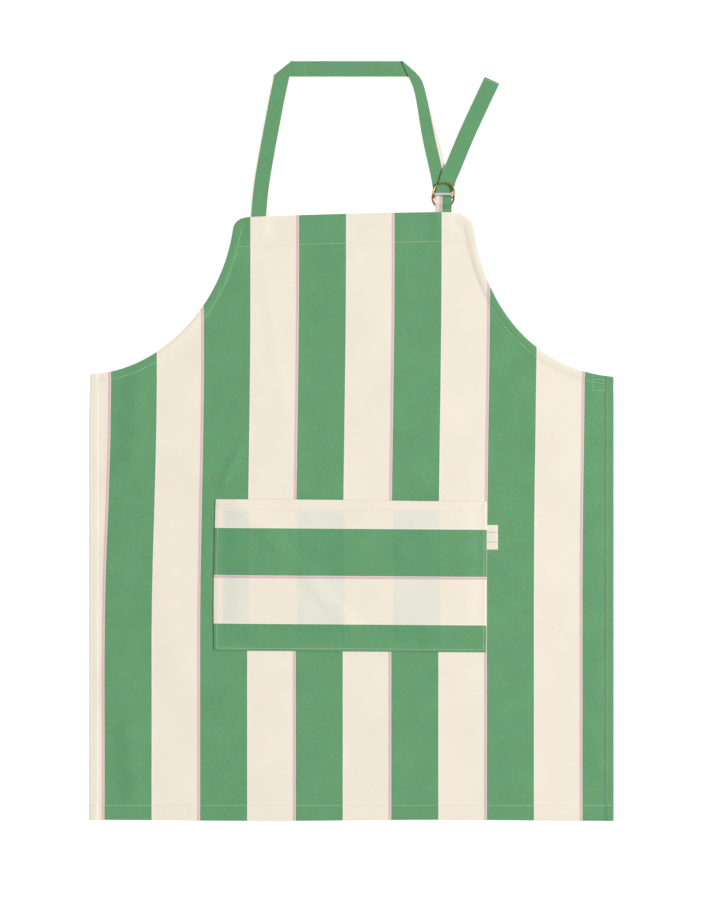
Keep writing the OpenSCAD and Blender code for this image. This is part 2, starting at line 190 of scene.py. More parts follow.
# Dyed-in-the-yarn cotton canvas in plain weave: matt and faintly fuzzy, with thick and thin yarns that mottle
# the colour. Those are drawn 1.5 mm wide, about three real yarns, as finer ones wouldn't show.
def makeCanvas(name, showThrough=None):
    material, tree, shade = startMaterial(name)
    cloth = addNode(tree, "UVMap", uv_map="cloth")
    parts = addNode(tree, "SeparateXYZ", {"Vector": cloth})

    # Stripes: where this point lies in the repeat, from 0 at the pink stripe's left edge
    repeat = canvas["repeat"] * mm
    pinkEnd = canvas["pink"] / canvas["repeat"]
    greenEnd = (canvas["pink"] + canvas["green"]) / canvas["repeat"]
    yarn = canvas["yarn"] / canvas["repeat"]
    turns = addNode(tree, "Math", {0: parts.outputs["X"], 1: repeat}, operation="DIVIDE")
    phase = addNode(tree, "Math", {0: turns}, operation="FRACT")
    stripes = addNode(tree, "ValToRGB", {"Fac": phase})
    bands = [(0.0, "pale"), (yarn, "pink"), (pinkEnd - 1.6 * yarn, "pink"), (pinkEnd - yarn, "palePink"),
             (pinkEnd, "palePink"), (pinkEnd + 0.3 * yarn, "green"), (greenEnd - 0.3 * yarn, "green"),
             (greenEnd, "pale"), (greenEnd + 2 * yarn, "pale"), (greenEnd + 3 * yarn, "cream"), (1.0, "cream")]
    setStops(stripes.color_ramp, [(at, linear(colours[key])) for at, key in bands])
    inGreen = addNode(tree, "ValToRGB", {"Fac": phase})
    setStops(inGreen.color_ramp, [(0.0, grey(0)), (pinkEnd, grey(1)), (greenEnd, grey(0))], "CONSTANT")

    # Yarns that run along and across, each a little thicker or thinner as it goes
    def yarns(across, along, seed):
        stretch = addNode(tree, "VectorMath",
                          {0: cloth, 1: (1 / across / mm, 1 / along / mm, 1)}, operation="MULTIPLY")
        return addNode(tree, "TexNoise",
                       {"Vector": stretch, "W": seed, "Scale": 1.0, "Detail": 1.0, "Roughness": 0.6},
                       noise_dimensions="4D")

    slub = canvas["slub"]
    warp, weft = yarns(slub, 4 * slub, 1.0), yarns(4 * slub, slub, 2.0)
    fuzz = yarns(0.8 * slub, 0.8 * slub, 3.0)
    both = addNode(tree, "Math", {0: warp, 1: weft}, operation="ADD")
    mottle = addNode(tree, "Math", {0: both, 1: fuzz}, operation="ADD")
    blotch = yarns(canvas["blotch"], canvas["blotch"], 4.0)

    # The mottle shows most in the green, where pale yarn cores break through the dye
    clouds = yarns(canvas["cloud"], canvas["cloud"], 5.0)
    grains = addNode(tree, "MapRange", {"Value": mottle, "From Min": 1.1, "From Max": 1.9,
                     "To Min": 0.885, "To Max": 1.085})
    cloudy = addNode(tree, "MapRange", {"Value": clouds, **noiseSpan, "To Min": 0.955, "To Max": 1.035})
    tone = addNode(tree, "Math", {0: grains, 1: cloudy}, operation="MULTIPLY")
    warm = addNode(tree, "MapRange", {"Value": blotch, **noiseSpan, "To Min": 0.955, "To Max": 1.045})
    redPart = addNode(tree, "Math", {0: tone, 1: warm}, operation="MULTIPLY")
    bluePart = addNode(tree, "Math", {0: tone, 1: warm}, operation="DIVIDE")
    greenTone = addNode(tree, "CombineColor", {"Red": redPart, "Green": tone, "Blue": bluePart})
    share = addNode(tree, "MapRange", {"Value": inGreen, "To Min": 0.22, "To Max": 1.0})
    dyed = addNode(tree, "Mix", {0: share, 6: stripes, 7: greenTone}, data_type="RGBA", blend_type="MULTIPLY")

    # Bits of husk left in the undyed cream yarn, two or three centimetres apart
    husks = addNode(tree, "TexVoronoi", {"Vector": cloth, "Scale": 1 / (canvas["husk"] * mm)})
    isHusk = addNode(tree, "MapRange", {"Value": husks, "From Min": 0.03,
                     "From Max": 0.018, "To Min": 0.0, "To Max": 0.45})
    inCream = addNode(tree, "Math", {0: 1.0, 1: inGreen}, operation="SUBTRACT")
    huskShare = addNode(tree, "Math", {0: isHusk, 1: inCream}, operation="MULTIPLY")
    flecked = addNode(tree, "Mix", {0: huskShare, 6: dyed.outputs[2], 7: linear(colours["husk"])}, data_type="RGBA")
    colour = flecked.outputs[2]

    # One layer of cloth lets the green stripes of the panel behind it show through
    if showThrough:
        place = addNode(tree, "TexCoord")
        at = addNode(tree, "SeparateXYZ", {"Vector": place.outputs["Object"]})
        shifted = addNode(tree, "Math", {0: at.outputs["X"], 1: showThrough["start"] * mm}, operation="SUBTRACT")
        behind = addNode(tree, "Math", {0: shifted, 1: repeat}, operation="DIVIDE")
        behindPhase = addNode(tree, "Math", {0: behind}, operation="FRACT")
        ghost = addNode(tree, "ValToRGB", {"Fac": behindPhase})
        soft = 2 * yarn
        setStops(ghost.color_ramp, [(0.0, grey(0)), (pinkEnd, grey(0.2)), (pinkEnd + soft, grey(1)),
                                    (greenEnd - soft, grey(1)), (greenEnd + soft, grey(0))])
        inside = ghost
        for axis, low, high in (("X", *showThrough["x"]), ("Y", *showThrough["y"])):
            for limit, other in ((low, low + showThrough["fade"]), (high, high - showThrough["fade"])):
                fade = addNode(tree, "MapRange", {"Value": at.outputs[axis], "From Min": limit * mm,
                               "From Max": other * mm})
                inside = addNode(tree, "Math", {0: inside, 1: fade}, operation="MULTIPLY")
        seen = addNode(tree, "Mix", {0: inside, 6: colour, 7: colours["seenBehind"]},
                       data_type="RGBA", blend_type="MULTIPLY")
        colour = seen.outputs[2]

    # Plain weave in relief: over and under at the real yarn spacing, and the thick and thin yarns over it
    perYarn = math.pi / (canvas["yarn"] * mm)
    twists = addNode(tree, "VectorMath", {0: cloth, 1: (perYarn, perYarn, 1)}, operation="MULTIPLY")
    turned = addNode(tree, "SeparateXYZ", {"Vector": twists})
    over = addNode(tree, "Math", {0: turned.outputs["X"]}, operation="SINE")
    under = addNode(tree, "Math", {0: turned.outputs["Y"]}, operation="SINE")
    weave = addNode(tree, "Math", {0: over, 1: under}, operation="MULTIPLY")
    relief = addNode(tree, "Math", {0: weave, 1: 0.12, 2: mottle}, operation="MULTIPLY_ADD")
    bump = addNode(tree, "Bump", {"Height": relief, "Strength": 0.35, "Distance": 0.12 * mm})
    setInputs(shade, {"Base Color": colour, "Normal": bump, "Roughness": 0.92, "Specular IOR Level": 0.2,
                      "Sheen Weight": 0.08, "Sheen Roughness": 0.5})
    return material


# Plain cotton tape: twill lines that run on the slant, a little smoother than the canvas
def makeTape(name, colour, rib, bars=None):
    material, tree, shade = startMaterial(name)
    cloth = addNode(tree, "UVMap", uv_map="cloth")
    parts = addNode(tree, "SeparateXYZ", {"Vector": cloth})
    slant = addNode(tree, "Math", {0: parts.outputs["X"], 1: parts.outputs["Y"]}, operation="ADD")
    lines = addNode(tree, "Math", {0: slant, 1: 2 * math.pi / (rib * mm)}, operation="MULTIPLY")
    ridge = addNode(tree, "Math", {0: lines}, operation="SINE")
    grain = addNode(tree, "TexNoise", {"Vector": cloth, "Scale": 1 / (1.8 * mm), "Detail": 2.0})
    tone = addNode(tree, "MapRange", {"Value": grain, **noiseSpan, "To Min": 0.93, "To Max": 1.05})
    colour = addNode(tree, "VectorMath", {0: linear(colour)[:3], "Scale": tone}, operation="SCALE")
    if bars:                    # two woven lines across the tape, with nothing written
        low, high = bars["at"]
        wide = bars["width"] / 2
        share = addNode(tree, "Math", {0: parts.outputs["Y"], 1: bars["length"] * mm}, operation="DIVIDE")
        marks = addNode(tree, "ValToRGB", {"Fac": share})
        setStops(marks.color_ramp, [(0.0, grey(0)), (low - wide, grey(1)), (low + wide, grey(0)),
                                    (high - wide, grey(1)), (high + wide, grey(0))], "CONSTANT")
        faint = addNode(tree, "Math", {0: marks, 1: 0.5}, operation="MULTIPLY")
        marked = addNode(tree, "Mix", {0: faint, 6: colour, 7: linear(bars["colour"])}, data_type="RGBA")
        colour = marked.outputs[2]
    relief = addNode(tree, "Math", {0: ridge, 1: 0.4, 2: grain}, operation="MULTIPLY_ADD")
    bump = addNode(tree, "Bump", {"Height": relief, "Strength": 0.4, "Distance": 0.1 * mm})
    setInputs(shade, {"Base Color": colour, "Normal": bump, "Roughness": 0.85, "Specular IOR Level": 0.25})
    return material


# Polyester core-spun sewing thread: two plies twisted together, slightly lustrous
def makeThread(name):
    material, tree, shade = startMaterial(name)
    place = addNode(tree, "TexCoord")
    fibres = addNode(tree, "TexNoise", {"Vector": place.outputs["Object"], "Scale": 1 / (0.5 * mm), "Detail": 1.0})
    shades = addNode(tree, "ValToRGB", {"Fac": fibres})
    setStops(shades.color_ramp, [(0.3, linear("#c9d0be")), (0.7, linear("#e3e6d8"))])
    bump = addNode(tree, "Bump", {"Height": fibres, "Strength": 0.3, "Distance": 0.05 * mm})
    setInputs(shade, {"Base Color": shades, "Normal": bump, "Roughness": 0.55, "Sheen Weight": 0.2})
    return material


# Drawn and plated wire: antique brass is darkened in random patches, partly its patina and partly painted shade
# that stands in for the dark reflections down the wire's sides; nickel is even and clean
def makeMetal(name, bright, dark, roughness, patch, darkness, wear):
    material, tree, shade = startMaterial(name)
    place = addNode(tree, "TexCoord")
    patches = addNode(tree, "TexNoise", {"Vector": place.outputs["Object"], "Scale": 1 / (patch * mm),
                      "Detail": 3.0, "Roughness": 0.6})
    shades = addNode(tree, "ValToRGB", {"Fac": patches})
    # dark to bright over the patches: partly patina, partly painted shade for the wire's dark reflections
    setStops(shades.color_ramp, [(0.3, linear(dark)), (0.3 + darkness, linear(bright)), (1.0, linear(bright))])
    scratches = addNode(tree, "TexNoise", {"Vector": place.outputs["Object"], "Scale": 1 / (0.3 * mm),
                        "Detail": 2.0})
    rough = addNode(tree, "MapRange", {"Value": patches, **noiseSpan,
                    "To Min": roughness + 0.12, "To Max": roughness - 0.06})
    bump = addNode(tree, "Bump", {"Height": scratches, "Strength": wear, "Distance": 0.03 * mm})
    setInputs(shade, {"Base Color": shades, "Roughness": rough, "Normal": bump, "Metallic": 1.0})
    return material


stripeStart = -335.5            # where the first pink stripe starts across the panel
panelCanvas = makeCanvas("striped cotton canvas")
pocketCanvas = makeCanvas("striped cotton canvas, single layer", {
    "start": stripeStart + 2.2, "fade": 1.5,
    "x": (pocketLow.x + 9, pocketHigh.x - 9), "y": (pocketLow.y + 9, pocketHigh.y - 14.5)})
biasTape = makeTape("cotton bias tape", "#e9e1cf", 0.8)
labelTape = makeTape("woven cotton label tape", "#f3ebdb", 0.5,
                     {"at": (0.3, 0.7), "width": 0.05, "length": 33, "colour": "#b9b6a4"})
sewingThread = makeThread("core-spun sewing thread")
# the brass's dark patches are partly patina and partly painted shade standing in for dark reflections
antiqueBrass = makeMetal("antique brass plate", "#d8aa60", "#7d5a28", 0.3, 5.0, 0.3, 0.15)
brightNickel = makeMetal("bright nickel plate", "#ffffff", "#f0f2f2", 0.34, 8.0, 0.2, 0.04)
print("materials are made")


# ---- cloth

def ease(t):
    t = np.clip(t, 0.0, 1.0)
    return t * t * (3 - 2 * t)


# Distance from points to a line between two ends
def awayFrom(x, y, a, b):
    (ax, ay), (bx, by) = a, b
    t = ((x - ax) * (bx - ax) + (y - ay) * (by - ay)) / ((bx - ax) ** 2 + (by - ay) ** 2)
    t = np.clip(t, 0.0, 1.0)
    return np.hypot(x - ax - t * (bx - ax), y - ay - t * (by - ay))


def bezier(a, b, c, d, count):
    t = np.linspace(0, 1, count)[:, None]
    a, b, c, d = (np.array(p, float) for p in (a, b, c, d))
    return (1 - t) ** 3 * a + 3 * t * (1 - t) ** 2 * b + 3 * t * t * (1 - t) * c + t ** 3 * d


# The same path with points at these distances along it
def alongPath(path, at):
    path = np.array(path, float)
    run = np.concatenate([[0], np.cumsum(np.linalg.norm(np.diff(path, axis=0), axis=1))])
    return np.stack([np.interp(at, run, path[:, i]) for i in range(path.shape[1])], axis=1)


def pathLength(path):
    return float(np.linalg.norm(np.diff(np.array(path, float), axis=0), axis=1).sum())


def headingsOf(path):           # the direction at each point of a path
    tangent = np.gradient(np.array(path, float), axis=0)
    return tangent / np.linalg.norm(tangent, axis=1)[:, None]


def inset(path, depth, turn):   # a path moved sideways into the cloth
    heading = headingsOf(path)
    return np.array(path) + turn * depth * np.stack([heading[:, 1], -heading[:, 0]], axis=1)


def between(one, two, t):       # the line a share of the way from one line to another
    return one[0] + t * (two[0] - one[0]), one[1] + t * (two[1] - one[1])


def steps(start, end, size):    # even places from start to end, about this far apart
    return list(np.linspace(start, end, max(2, int(round((end - start) / size)) + 1)))


def meshPiece(name, points, faces, uv=None):
    mesh = bpy.data.meshes.new(name)
    mesh.from_pydata([tuple(p) for p in np.array(points) * mm], [], faces)
    if uv is not None:
        layer = mesh.uv_layers.new(name="cloth")
        corners = np.zeros(len(mesh.loops), np.int32)
        mesh.loops.foreach_get("vertex_index", corners)
        layer.data.foreach_set("uv", (np.array(uv) * mm)[corners].astype(np.float32).ravel())
    piece = bpy.data.objects.new(name, mesh)
    bpy.context.scene.collection.objects.link(piece)
    return piece


def only(piece):
    bpy.ops.object.select_all(action="DESELECT")
    piece.select_set(True)
    bpy.context.view_layer.objects.active = piece


# Gives a one-layer cloth its thickness and material, and smooths it
def finishCloth(piece, ply, material):
    only(piece)
    solid = piece.modifiers.new("thickness", "SOLIDIFY")
    solid.thickness = ply * mm
    solid.offset = 0
    bpy.ops.object.modifier_apply(modifier=solid.name)
    bpy.ops.object.shade_smooth_by_angle(angle=math.radians(50))
    piece.data.materials.append(material)
    return piece


turnSteps = 5                   # rows of faces round each turned edge
onFloor = 0.32                  # a ply's middle where it lies on the floor


# A cloth from a grid of places. Each fold turns one edge under: an arc of radius turn, then a hem of that width.
def clothPiece(name, gridX, gridY, height, uv, folds, turn):
    rows, columns = gridX.shape
    arc = [turn * math.pi * k / turnSteps for k in range(1, turnSteps + 1)]
    reach = {side: arc + [math.pi * turn + d for d in steps(0, width, 3.5)[1:]] for side, width in folds.items()}
    left, right = len(reach.get("left", [])), len(reach.get("right", []))
    low, high = len(reach.get("bottom", [])), len(reach.get("top", []))
    place = np.full((low + rows + high, left + columns + right, 5), np.nan)
    core = place[low:low + rows, left:left + columns]
    core[..., 0], core[..., 1], core[..., 2] = gridX, gridY, height(gridX, gridY)
    core[..., 3], core[..., 4] = uv
    edges = {"left": (core[:, 0], core[:, 1]), "right": (core[:, -1], core[:, -2]),
             "bottom": (core[0], core[1]), "top": (core[-1], core[-2])}
    for side, distances in reach.items():
        edge, inner = edges[side]
        heading = headingsOf(edge[:, :2])
        inward = np.stack([-heading[:, 1], heading[:, 0]], axis=1)
        toInner = inner[:, :2] - edge[:, :2]
        inward *= np.sign((inward * toInner).sum(1))[:, None]
        depth = (toInner * inward).sum(1)[:, None]
        grain = (inner[:, 3:] - edge[:, 3:]) / np.maximum(depth, 1e-3)
        for k, d in enumerate(distances):
            angle = min(d / turn, math.pi)
            line = np.zeros_like(edge)
            line[:, :2] = edge[:, :2] + inward * (max(0.0, d - math.pi * turn) - turn * math.sin(angle))
            if d > math.pi * turn:
                line[:, 2] = height(line[:, 0], line[:, 1]) - 2 * turn
            else:
                line[:, 2] = edge[:, 2] - turn * (1 - math.cos(angle))
            line[:, 2] = np.maximum(line[:, 2], onFloor)
            line[:, 3:] = edge[:, 3:] - grain * d
            row = {"bottom": low - 1 - k, "top": low + rows + k}.get(side, slice(low, low + rows))
            column = {"left": left - 1 - k, "right": left + columns + k}.get(side, slice(left, left + columns))
            place[row, column] = line
    made = ~np.isnan(place[..., 0])
    number = np.full(made.shape, -1)
    number[made] = np.arange(made.sum())
    whole = made[:-1, :-1] & made[:-1, 1:] & made[1:, 1:] & made[1:, :-1]
    faces = np.stack([number[:-1, :-1][whole], number[:-1, 1:][whole],
                      number[1:, 1:][whole], number[1:, :-1][whole]], axis=1)
    points = place[made]
    return meshPiece(name, points[:, :3], faces.tolist(), points[:, 3:])


# ---- panel

panel = {"ply": 0.6, "turn": 0.45, "column": 4.6, "row": 4.8, "sideHem": 9, "bottomHem": 20, "edgeFold": 6,
         "bibFall": (4.5, -3.5),        # how far the bib's top falls to the left and rises to the right
         "reach": (0.467, 0.567), "lift": (3.5, 10), "tuck": (0.08, 0.08), "rise": (0.443, 0.459),
         "foot": (0.6, -3.0), "pullIn": (1.6, 0.4), "head": (-2.4, 2.4), "corner": (18.2, 16),
         "flat": 0.36,                  # its middle where nothing lies under it
         # how far it rises over the side and bottom hems, the armholes' facings, the bib's, and the sewn-in tapes
         "hemStep": 0.9, "armStep": 1.4, "bibStep": 0.65, "tapeStep": 1.25}
sideTop = boxOf("side_stitch_left")[1].y + 6
bibHalf = boxOf("bib_facing_stitch")[1].x + 10
bibTop = panelHigh.y


# One armhole from its foot at the side to its head under the bib's corner; side is 0 for left, 1 for right
def armhole(side):
    sign = (-1, 1)[side]
    foot = np.array([sign * (panelHigh.x - panel["pullIn"][side]), sideTop + panel["foot"][side]])
    head = np.array([sign * (bibHalf + panel["head"][side]), bibTop - panel["corner"][side]])
    run, climb = head[0] - foot[0], head[1] - foot[1]
    nearFoot = foot + [panel["reach"][side] * run, panel["lift"][side]]
    nearHead = np.array([head[0] - panel["tuck"][side] * run, foot[1] + panel["rise"][side] * climb])
    return bezier(foot, nearFoot, nearHead, head, 90)


def bibTopAt(x):                # the bib's top edge, a little slanted and bowed
    t = (np.asarray(x) + bibHalf) / (2 * bibHalf)
    return bibTop - panel["bibFall"][0] * (1 - t) - panel["bibFall"][1] * t + 1.2 * np.sin(math.pi * t)


armLeft, armRight = armhole(0), armhole(1)
bibLine = np.array([[x, bibTopAt(x)] for x in np.linspace(-bibHalf + 24, bibHalf - 29, 60)])
headLeft, headRight = armLeft[-1], armRight[-1]
cornerLeft = bezier(headLeft, headLeft + [2.5, 9.5], bibLine[0] - [12, 0.4], bibLine[0], 14)
cornerRight = bezier(bibLine[-1], bibLine[-1] + [13, -0.4], headRight + [-2, 11], headRight, 14)
outline = np.concatenate([armLeft, cornerLeft[1:], bibLine[1:], cornerRight[1:], armRight[::-1][1:]])
outlineLength = pathLength(outline)

rootLeft, rootRight = jointAt("left_tie_fold").y, jointAt("right_tie_fold").y
ties = {"width": 22, "ply": 0.4, "level": 0.22, "length": 580, "fall": (43, 57), "turned": 8}

# Where a crease runs in the cloth: from, to, half width, height
creases = [
    ((-322, 84), (-330, -26), 13, -1.6), ((-286, 88), (-294, -22), 14, 2.1),
    ((-140, 12), (-172, -58), 7, 1.1), ((-326, -396), (-320, -484), 12, -1.2),
    ((-299, -392), (-290, -486), 12, 1.7), ((-116, 228), (-89, 27), 7, 0.4),
    ((-70, 236), (-8, 256), 6, -0.8), ((-60, 222), (4, 243), 7, 0.9),
    ((200, 186), (244, 134), 9, 1.3), ((52, -330), (119, -343), 5, 0.45),
    ((125, -309), (179, -322), 5, 0.45), ((313, -375), (333, -432), 6, 0.4),
    ((-208, 120), (-150, 40), 9, 0.45), ((60, 60), (150, 150), 16, 0.45),
    ((-260, -150), (-240, -300), 18, 0.4), ((210, -60), (262, -210), 20, 0.4)]
# The ridge over the left tie, then the slow swells of the whole cloth: heading, length, start
tieRidge = [(-345, 62), (-268, 6), (-187, -65), (-121, -117), (-66, -175), (-4, -246)]
swells = [(random.uniform(0, math.pi), random.uniform(60, 210), random.uniform(0, 6.28))
          for _ in range(12)]


def tieEnd(side):
    fall = math.radians(ties["fall"][side])
    root = np.array([(-1, 1)[side] * (panelHigh.x - 1.5), (rootLeft, rootRight)[side]])
    return root, root + ties["length"] * np.array([-(-1, 1)[side] * math.cos(fall), -math.sin(fall)])


# Height of the middle of the panel's cloth above the floor
def panelHeight(x, y):
    x, y = np.asarray(x, float), np.asarray(y, float)
    side = np.minimum(x - panelLow.x, panelHigh.x - x)
    fromHem = y - panelLow.y
    flat = np.stack([x.ravel(), y.ravel()], axis=1)
    coarse = alongPath(outline, np.linspace(0, outlineLength, 190))
    near = np.full(len(flat), 1e9)
    for a, b in zip(coarse[:-1], coarse[1:]):
        near = np.minimum(near, awayFrom(flat[:, 0], flat[:, 1], a, b))
    near = near.reshape(x.shape)
    z = np.full(x.shape, panel["flat"])
    z += panel["hemStep"] * ease((panel["sideHem"] + 2.5 - side) / 3) * (y < sideTop + 6)
    z += panel["hemStep"] * ease((panel["bottomHem"] + 2.5 - fromHem) / 3) * ease((side + 1) / 2)
    z += panel["armStep"] * ease((13.5 - near) / 9) * ease((y - sideTop + 14) / 8)
    z += panel["bibStep"] * ease((40.5 - (bibTopAt(x) - y)) / 3) * (np.abs(x) < bibHalf + 8)
    for at in (strapX, tabX):   # the ends of strap and tab between bib and facing
        z += panel["tapeStep"] * ease((16 - np.abs(x - at)) / 6) * ease((y - bibTopAt(at) + 30) / 7)
    loose = ease(side / 25) * ease(fromHem / 40) * ease(near / 22)
    away = awayFrom(x, y, *tieEnd(0))
    z += 0.12 * ease((ties["width"] / 2 + 14 - away) / 14)
    away = np.minimum.reduce([awayFrom(x, y, a, b) for a, b in zip(tieRidge, tieRidge[1:])])
    ridge = (0.4 + 0.5 * ease((x + 190) / 60)) * ease((y + 300) / 60)
    z += ridge * np.exp(-(np.maximum(away - 5, 0) / 5.5) ** 2) * loose
    away = awayFrom(x, y, *tieEnd(1))
    z += 0.25 * ease((ties["width"] / 2 + 24 - away) / 24)
    for a, b, wide, high in creases:
        z += high * np.exp(-(awayFrom(x, y, a, b) / wide) ** 2) * loose * (1.0 if high > 0 else 0.6)
    swell = sum(np.sin(2 * math.pi * (x * math.cos(a) + y * math.sin(a)) / length + start)
                for a, length, start in swells)
    z += (0.55 + 0.16 * swell) * loose
    return np.maximum(z, panel["flat"])


# How far the stripes have wandered to the right of their straight line
def wander(x, y):
    pull = 4.4 * ease((np.asarray(y) + 214) / 470)
    left = np.exp(-((np.asarray(x) + 351) / 147) ** 2)
    return pull + 6.0 * left * ease((np.asarray(y) + 281) / 300) * ease((250 - np.asarray(y)) / 180)


def makePanel():
    fine = steps(0, 13, 1.3)
    at = fine + steps(13, outlineLength - 13, panel["column"])[1:-1] + [outlineLength - d for d in reversed(fine)]
    top = alongPath(outline, at)
    band = panel["bottomHem"] + 5
    lowRows = steps(0, band, 2.5)[:-1]
    shares = np.array(steps(0, 1, panel["row"] / (bibTop - panelLow.y - band)))
    rise = np.concatenate([np.array(lowRows)[:, None] * np.ones(len(at)),
                           band + shares[:, None] * (top[:, 1] - panelLow.y - band - panel["turn"])])
    gridY = panelLow.y + panel["turn"] + rise
    gridX = np.ones(gridY.shape) * top[:, 0]
    bow = ease((sideTop - gridY) / 60) * (gridX / panelHigh.x) ** 2
    gridX += bow * np.where(gridX < 0, -1.6, 0.3)
    low = ease((panelLow.y + 60 - gridY) / 60)
    gridY += 0.7 * low * np.sin(gridX / 75)
    uv = (gridX - stripeStart - wander(gridX, gridY), gridY - panelLow.y)
    piece = clothPiece("frontPanel", gridX, gridY, panelHeight, uv,
                       {"left": panel["sideHem"], "right": panel["sideHem"], "bottom": panel["bottomHem"],
                        "top": panel["edgeFold"]}, panel["turn"])
    return finishCloth(piece, panel["ply"], panelCanvas)


frontPanel = makePanel()
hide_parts("front_panel")
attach(frontPanel, "apron")
print("panel:", len(frontPanel.data.polygons), "faces")


# ---- facings behind the bib and the armholes

facing = {"bibDepth": 38, "bibPly": 0.6, "bibZ": 0.36, "armWidth": 11, "armPly": 0.4, "armZ": 0.3,
          "armLength": 262, "inset": 1.2}


def flatHeight(level):          # a cloth that lies flat, with its middle at this height
    return lambda x, y: np.full(np.shape(x), float(level))


def makeBibFacing():
    across = np.linspace(0, 1, 66)
    down = np.linspace(0, 1, 11)[:, None]
    topX = -bibHalf + 15 + across * (2 * bibHalf - 29)
    lowX = -bibHalf - 1 + across * (2 * bibHalf + 2.5)
    gridX = lowX + down * (topX - lowX)
    gridY = bibTopAt(topX) - facing["inset"] - (1 - down) * (facing["bibDepth"] - facing["inset"])
    uv = (gridX + bibHalf, gridY - bibTop)
    piece = clothPiece("bibFacing", gridX, gridY, flatHeight(facing["bibZ"]), uv, {}, 1)
    return finishCloth(piece, facing["bibPly"], biasTape)


def makeArmholeFacing(name, side):
    path = armLeft if side == 0 else armRight
    turn = (1, -1)[side]        # the cloth lies to the right of the left armhole, and to the left of the other
    stop = bibTop - facing["bibDepth"] - 3
    path = path[(np.abs(path[:, 0]) < panelHigh.x - panel["sideHem"] - 2) & (path[:, 1] < stop)]
    path = alongPath(path, steps(0, pathLength(path), 4))
    depth = np.linspace(facing["armWidth"], facing["inset"], 5)
    grid = np.array([inset(path, d, turn) for d in depth])
    along = np.ones(5)[:, None] * np.linspace(0, pathLength(path), len(path))
    if side == 1:               # the right path runs right to left, so it's turned to face up
        grid, along = grid[:, ::-1], along[:, ::-1]
    uv = (along, depth[:, None] * np.ones(len(path)))
    piece = clothPiece(name, grid[..., 0], grid[..., 1], flatHeight(facing["armZ"]), uv, {}, 1)
    return finishCloth(piece, facing["armPly"], biasTape)


bibFacing = makeBibFacing()
armholeFacings = [makeArmholeFacing("armholeFacingLeft", 0), makeArmholeFacing("armholeFacingRight", 1)]
for piece, node in zip([bibFacing, *armholeFacings],
                       ("bib_facing", "armhole_facing_left", "armhole_facing_right")):
    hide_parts(node)
    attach(piece, "apron")
print("facings are made")


# ---- pocket and its label

pocket = {"fullness": 1.5, "rise": 26, "edge": 9, "hem": 13, "seat": 1.6, "bow": 1.3, "cell": 4.0,
          "corners": ((-2.0, 0.4), (-2.2, -2.1), (0.4, -0.2), (-1.1, -2.7)),
          "pinkAt": -184.7, "pinkFall": 2.6}


def pocketHeight(x, y):
    x, y = np.asarray(x, float), np.asarray(y, float)
    side = np.minimum(x - pocketLow.x, pocketHigh.x - x) - pocket["edge"] + 2
    lift = ease(side / pocket["rise"]) * ease((y - pocketLow.y - pocket["edge"] + 2) / (1.4 * pocket["rise"]))
    sag = 1 - 0.35 * np.exp(-((x + 40) / 70) ** 2) * ease((y - pocketHigh.y + 90) / 90)
    return panelHeight(x, y) + pocket["seat"] + pocket["fullness"] * lift * sag


def makePocket():
    corners = [(x, y) for y in (pocketLow.y, pocketHigh.y) for x in (pocketLow.x, pocketHigh.x)]
    lowLeft, lowRight, topLeft, topRight = np.array(corners) + pocket["corners"]
    s = np.linspace(0, 1, int((pocketHigh.x - pocketLow.x) / pocket["cell"]))[None, :, None]
    t = np.linspace(0, 1, int((pocketHigh.y - pocketLow.y) / pocket["cell"]))[:, None, None]
    grid = (1 - t) * ((1 - s) * lowLeft + s * lowRight) + t * ((1 - s) * topLeft + s * topRight)
    gridX = grid[..., 0] - pocket["bow"] * np.sin(math.pi * t[..., 0]) * (1 - s[..., 0]) ** 3
    gridY = grid[..., 1] + 0.5 * np.sin(5 * s[..., 0]) * t[..., 0]
    up = gridY - pocket["pinkAt"] + (gridX - pocketLow.x) / (pocketHigh.x - pocketLow.x) * pocket["pinkFall"]
    folds = {"left": pocket["edge"], "right": pocket["edge"], "bottom": pocket["edge"], "top": pocket["hem"]}
    piece = clothPiece("pocketCloth", gridX, gridY, pocketHeight, (up, gridX), folds, panel["turn"])
    return finishCloth(piece, panel["ply"], pocketCanvas)


label = {"out": 13.6, "under": 2, "ply": 0.4, "turn": 0.28, "long": 33, "lift": 1.15}


def makeLabel():
    low, high = boxOf("pocket_label")
    x = np.array([low.x - label["under"], *np.linspace(low.x, low.x + label["out"], 9)])
    y = np.linspace(low.y, high.y, 12)[:, None]
    gridX, gridY = x + 0 * y, y + 0 * x

    def lie(px, py):            # it bellies up a little at the middle of its outer edge
        belly = 0.5 * ease((px - low.x) / 8) * np.sin((py - low.y) / (high.y - low.y) * math.pi)
        return panelHeight(px, py) + label["lift"] + belly

    uv = (gridX - low.x, gridY - low.y)
    piece = clothPiece("pocketLabel", gridX, gridY, lie, uv, {"right": label["out"]}, label["turn"])
    return finishCloth(piece, label["ply"], labelTape)


pocketPiece, labelPiece = makePocket(), makeLabel()
for piece, node, body, slot in ((pocketPiece, "pocket", "apron", "pocket_cotton"),
                                (labelPiece, "pocket_label", "label", "label_tape")):
    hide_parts(node)
    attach(piece, body)
print("pocket and label are made")


# ---- neck strap

